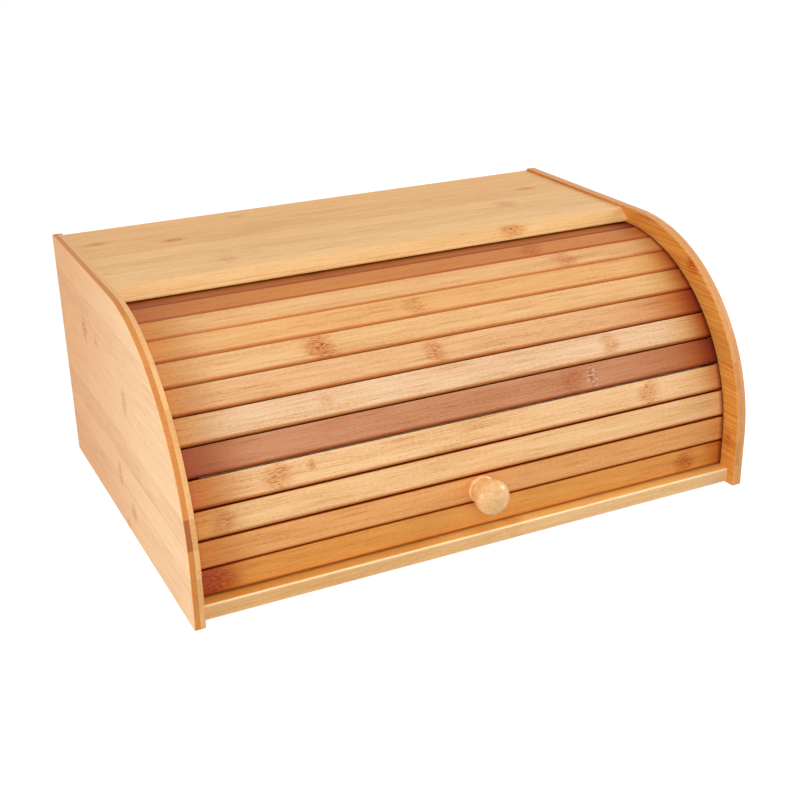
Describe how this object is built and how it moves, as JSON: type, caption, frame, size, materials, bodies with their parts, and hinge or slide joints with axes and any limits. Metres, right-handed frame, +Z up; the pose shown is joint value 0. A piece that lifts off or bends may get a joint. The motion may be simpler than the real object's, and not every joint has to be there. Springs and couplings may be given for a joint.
{
  "type": "roll-top bread box",
  "caption": "Bamboo bread box with a roll-up slatted front that slides in grooves in its rounded sides, opened by a turned wooden knob.",
  "frame": {"origin": "on the floor, in the middle of the box's width and of its depth measured with the knob", "axes": "+X to the right seen from the front, +Y to the back, +Z up"},
  "size_m": [0.4, 0.293, 0.168],
  "materials": {
    "bamboo_side": "clear satin lacquer",
    "bamboo_board": "clear satin lacquer",
    "bamboo_honey": "clear satin lacquer",
    "bamboo_amber": "clear satin lacquer",
    "bamboo_tan": "clear satin lacquer",
    "bamboo_rose": "clear satin lacquer",
    "bamboo_carbonised": "clear satin lacquer",
    "dowel_wood": "bare, fluted",
    "knob_wood": "glossy clear lacquer",
    "canvas": "plain-woven cotton, glued",
    "screw_steel": "zinc-plated"
  },
  "bodies": {
    "carcass": {"side_panel_left": "bamboo_side", "side_panel_right": "bamboo_side", "top_board": "bamboo_board", "base_board": "bamboo_board", "back_board": "bamboo_board", "top_dowels": "dowel_wood", "base_dowels": "dowel_wood"},
    "curtain": {"slat_02": "bamboo_amber", "slat_03": "bamboo_honey", "slat_04": "bamboo_honey", "slat_05": "bamboo_carbonised", "slat_06": "bamboo_rose", "slat_07": "bamboo_tan", "slat_08": "bamboo_honey", "slat_09": "bamboo_amber", "slat_10": "bamboo_honey", "slat_11": "bamboo_carbonised", "slat_12": "bamboo_amber", "slat_13": "bamboo_amber", "canvas_sheet": "canvas", "knob": "knob_wood", "knob_screw": "screw_steel"},
    "bottom_slat": {"slat_01": "bamboo_amber", "canvas_hem": "canvas"}
  },
  "joints": [
    {"name": "curtain_roll", "type": "hinge", "parent": "carcass", "child": "curtain", "pos_m": [0, -0.00036, 0.03368], "axis": [-1, 0, 0], "range_deg": [0, 83]},
    {"name": "bottom_slat_bend", "type": "hinge", "parent": "curtain", "child": "bottom_slat", "pos_m": [0, -0.11836, 0.02975], "axis": [1, 0, 0], "range_deg": [0, 6.36]}
  ],
  "couplings": [
    {"joint": "bottom_slat_bend", "follows": "curtain_roll", "ratio": 0.07665}
  ]
}
